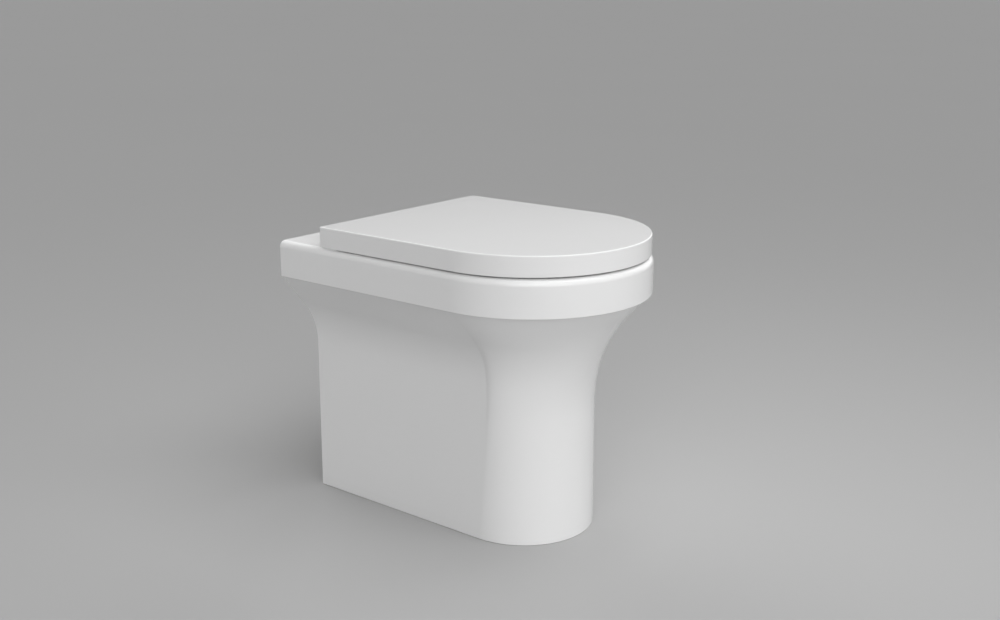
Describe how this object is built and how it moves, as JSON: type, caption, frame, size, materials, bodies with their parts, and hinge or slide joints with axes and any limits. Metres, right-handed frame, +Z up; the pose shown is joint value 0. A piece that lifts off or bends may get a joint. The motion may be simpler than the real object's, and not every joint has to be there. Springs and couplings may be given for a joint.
{
  "type": "back to wall toilet",
  "caption": "Floor-standing back to wall toilet: glazed china pan with flared pedestal, bowl and water trap, a hinged soft-close D-shaped seat and a wrap-over lid.",
  "frame": {"origin": "middle of the bounding box's footprint, on the floor", "axes": "+Z up, -Y towards the front of the pan, +Y towards the wall behind it, +X to the right of a person who faces the pan from the front"},
  "size_m": [0.36, 0.5249, 0.454],
  "materials": {
    "glaze": "gloss",
    "seat_plastic": "gloss",
    "chrome": "polished",
    "steel": "satin",
    "brass": "satin",
    "fixing_rubber": "matte",
    "buffer_rubber": "satin",
    "damper_plastic": "satin",
    "bush_plastic": "satin",
    "button_plastic": "satin"
  },
  "bodies": {
    "root": {"pan_rim": "glaze", "pan_pedestal": "glaze", "pan_bowl": "glaze", "pan_flush_inlet": "glaze", "pan_trapway": "glaze", "hinge_base_left": "chrome", "hinge_base_right": "chrome", "hinge_gaskets": "fixing_rubber", "hinge_screws": "steel", "expansion_sleeves": "fixing_rubber", "cone_nuts": "brass", "hinge_pillar_left": "chrome", "hinge_pillar_right": "chrome", "hinge_shaft_left": "steel", "hinge_shaft_right": "steel"},
    "seat": {"seat_ring": "seat_plastic", "seat_damper": "damper_plastic", "seat_hinge_bush": "bush_plastic", "seat_buffers": "buffer_rubber"},
    "lid": {"lid": "seat_plastic", "lid_damper": "damper_plastic", "lid_hinge_bush": "bush_plastic", "lid_buffers": "buffer_rubber"},
    "button_left": {"release_button_left": "button_plastic"},
    "button_right": {"release_button_right": "button_plastic"}
  },
  "joints": [
    {"name": "seat_hinge", "type": "hinge", "parent": "root", "child": "seat", "pos_m": [0, 0.1645, 0.443], "axis": [-1, 0, 0], "range_deg": [0, 93]},
    {"name": "lid_hinge", "type": "hinge", "parent": "seat", "child": "lid", "pos_m": [0, 0.1645, 0.443], "axis": [-1, 0, 0], "range_deg": [0, 92]},
    {"name": "button_left_press", "type": "slide", "parent": "root", "child": "button_left", "axis": [0, -1, 0], "range_m": [0, 0.002], "stiffness_N_per_m": 400, "springref_m": -0.001},
    {"name": "button_right_press", "type": "slide", "parent": "root", "child": "button_right", "axis": [0, -1, 0], "range_m": [0, 0.002], "stiffness_N_per_m": 400, "springref_m": -0.001}
  ]
}
